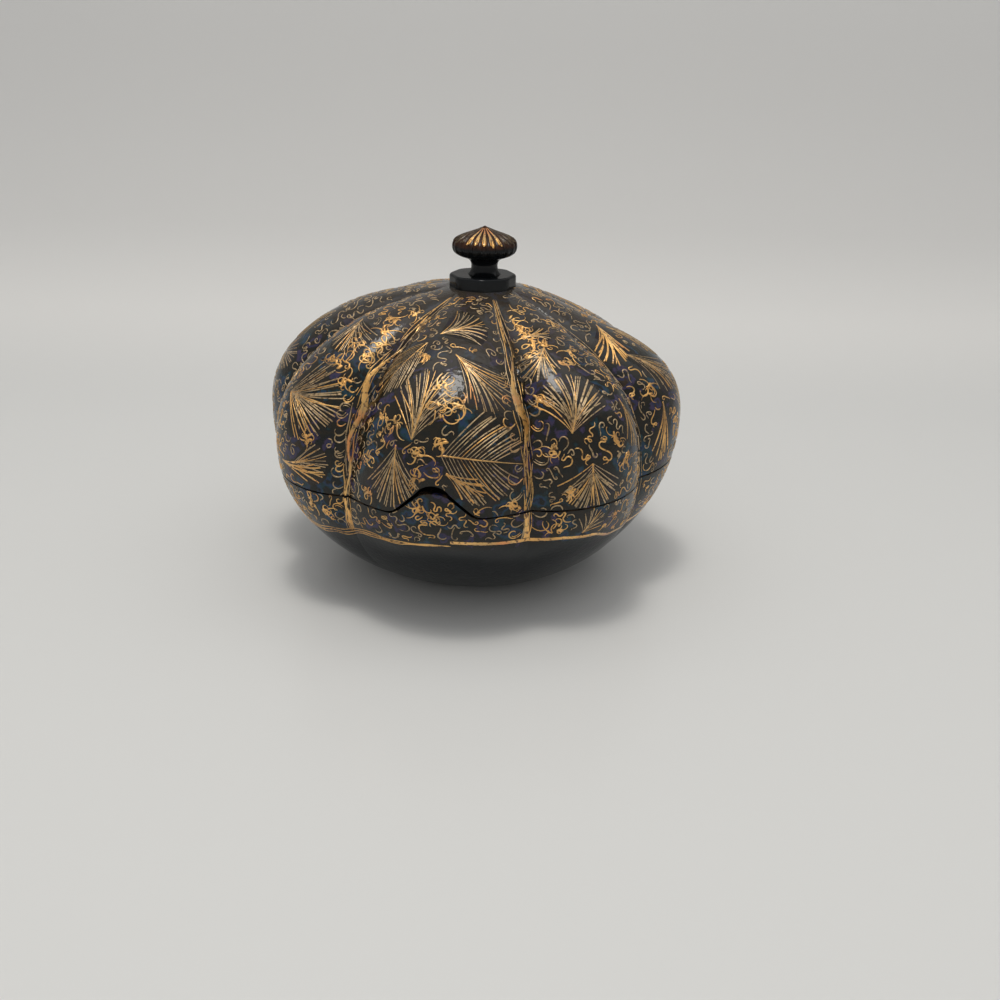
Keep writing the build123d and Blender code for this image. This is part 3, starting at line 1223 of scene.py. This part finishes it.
def bare_wood():
    """Pale turned wood with fine rings."""
    material, tree, shader = new_material("bare_wood")
    tree.links.new(ramp(tree, noise(tree, 1.4, 5.0, 0.3), [
        (0.35, (0.42, 0.26, 0.13)),
        (0.65, (0.60, 0.42, 0.24)),
    ]), shader.inputs["Base Color"])
    shader.inputs["Roughness"].default_value = 0.6
    bumps(tree, shader, [(0.6, 0.02)])
    return material


def dress(node, material):
    """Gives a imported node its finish."""
    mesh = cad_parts[node].data
    mesh.materials.clear()
    mesh.materials.append(material)


def new_object(name, data):
    """Object that holds a mesh, a lamp or a camera."""
    item = bpy.data.objects.new(name, data)
    bpy.context.scene.collection.objects.link(item)
    return item


def new_piece(name, points, faces, smooth, material):
    """Object with a mesh of one material."""
    mesh = bpy.data.meshes.new(name)
    mesh.from_pydata(points, [], faces)
    mesh.polygons.foreach_set("use_smooth", smooth)
    mesh.materials.append(material)
    return new_object(name, mesh)


def kept_inside(point):
    """The point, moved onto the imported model's box if it lies outside it."""
    low, high = cad_bounds
    return Vector([min(max(c, a), b) for c, a, b in zip(point, low, high)])


def build_paint(materials):
    """One mesh for each kind of paint on each lobe of each body."""
    names = {"lid": "lid", "base": "bowl", "knob": "knob"}
    for (kind, body, lobe), store in sorted(stores.items()):
        name = f"{kind}_{names[body]}_{lobe + 1}"
        points = [kept_inside(p) for p in store["points"]]
        piece = new_piece(name, points, store["faces"], store["smooth"], materials[kind])
        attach(piece, "base" if body == "base" else "lid")


# Stage, light and camera

# Floor and wall: colours and where one turns into the other, then the sweep, all in metres
FLOOR_COLOUR = (0.68, 0.68, 0.665)
WALL_COLOUR = (0.81, 0.80, 0.775)
COLOUR_CHANGE = (0.12, 0.30)
FLOOR_ROUGHNESS = 0.28
SWEEP_START = 0.55
SWEEP_RADIUS = 0.7
SWEEP_STEPS = 24
STAGE_HALF = 3.0


def stage():
    """Pale floor that sweeps up into a wall far behind, and takes its grey on the way."""
    line = [(-STAGE_HALF, 0.0)]
    for i in range(SWEEP_STEPS + 1):
        angle = pi / 2 * i / SWEEP_STEPS
        line.append((SWEEP_START + SWEEP_RADIUS * sin(angle), SWEEP_RADIUS * (1 - cos(angle))))
    line.append((SWEEP_START + SWEEP_RADIUS, STAGE_HALF))
    points = [(x, y, z) for y, z in line for x in (-STAGE_HALF, STAGE_HALF)]
    faces = [(2 * i, 2 * i + 1, 2 * i + 3, 2 * i + 2) for i in range(len(line) - 1)]
    material, tree, shader = new_material("floor")
    far = between(tree, coordinate(tree, "Object", "Y"), *COLOUR_CHANGE)
    tree.links.new(blend_colours(tree, far, FLOOR_COLOUR, WALL_COLOUR), shader.inputs["Base Color"])
    shader.inputs["Roughness"].default_value = FLOOR_ROUGHNESS
    sweep = new_piece("floor", points, faces, [True] * len(faces), material)


LAMP_PLACE = Vector((-0.035, -0.085, 0.75))
LAMP_AIM = Vector((0, 0, 0.06))
LAMP_COLOUR = (1.0, 0.97, 0.92)

# Name, width and power of each lamp, one round the other
LAMPS = [("key", 0.24, 1.4), ("core", 0.08, 0.62)]

# Surroundings: level by how nearly they lie in the brightest direction
BRIGHTEST = (0.12, 0.48, 0.87)
SURROUNDINGS = [
    (0.0, (0.47, 0.47, 0.47)),
    (0.45, (0.40, 0.40, 0.40)),
    (0.70, (0.86, 0.86, 0.87)),
    (0.88, (1.26, 1.27, 1.28)),
]


def lights():
    """Pale surroundings, dimmer in front, and a soft lamp with a bright core high over the box."""
    world = bpy.data.worlds.new("studio")
    bpy.context.scene.world = world
    world.use_nodes = True
    tree = world.node_tree
    place = add_node(tree, "ShaderNodeTexCoord")
    dot = add_node(tree, "ShaderNodeVectorMath", operation="DOT_PRODUCT")
    dot.inputs[1].default_value = BRIGHTEST
    tree.links.new(place.outputs["Generated"], dot.inputs[0])
    shade = ramp(tree, dot.outputs["Value"], SURROUNDINGS)
    tree.links.new(shade, tree.nodes["Background"].inputs["Color"])
    for name, width, power in LAMPS:
        lamp = bpy.data.lights.new(name, "AREA")
        lamp.shape = "DISK"
        lamp.size = width
        lamp.energy = power
        lamp.color = LAMP_COLOUR
        holder = new_object(name, lamp)
        holder.location = LAMP_PLACE
        holder.rotation_euler = (LAMP_AIM - LAMP_PLACE).to_track_quat("-Z", "Y").to_euler()


# The photograph's view: place, degrees down and round, lens and sensor in millimetres
CAMERA_PLACE = Vector((7.3, -264.46, 131.07)) * MM
CAMERA_PITCH = 23.85
CAMERA_ROLL = 1.284
CAMERA_LENS = 36.43
SENSOR = 36.0


def camera():
    """Camera at the photograph's place."""
    data = bpy.data.cameras.new("camera")
    data.sensor_width = SENSOR
    data.lens = CAMERA_LENS
    holder = new_object("camera", data)
    tilt = Matrix.Rotation(radians(90 - CAMERA_PITCH), 4, "X")
    roll = Matrix.Rotation(radians(CAMERA_ROLL), 4, "Z")
    holder.matrix_world = Matrix.Translation(CAMERA_PLACE) @ tilt @ roll
    bpy.context.scene.camera = holder


# The box

lacquer = painted_lacquer()
rim_lacquer = plain_lacquer("rim_lacquer", BLACK, (0.09, 0.05, 0.03), 0.66)
turned_lacquer = plain_lacquer("turned_lacquer", BLACK, (0.05, 0.035, 0.025), 0.70)
dress("bowl_shell", lacquer)
dress("lid_shell", lacquer)
dress("locating_rim", rim_lacquer)
dress("foot_disc", turned_lacquer)
dress("knob_collar", turned_lacquer)
dress("knob", knob_lacquer())
dress("knob_peg", bare_wood())

border_line()
bands()
front_leaves()
chance_leaves()
scrolls()
knob_rays()
build_paint({"gold": gold_paint(), "tan": tan_paint(), "dull": shaded_ray_paint(), "ground": leaf_ground()})

stage()
lights()
camera()
bpy.context.scene.view_settings.view_transform = "Standard"
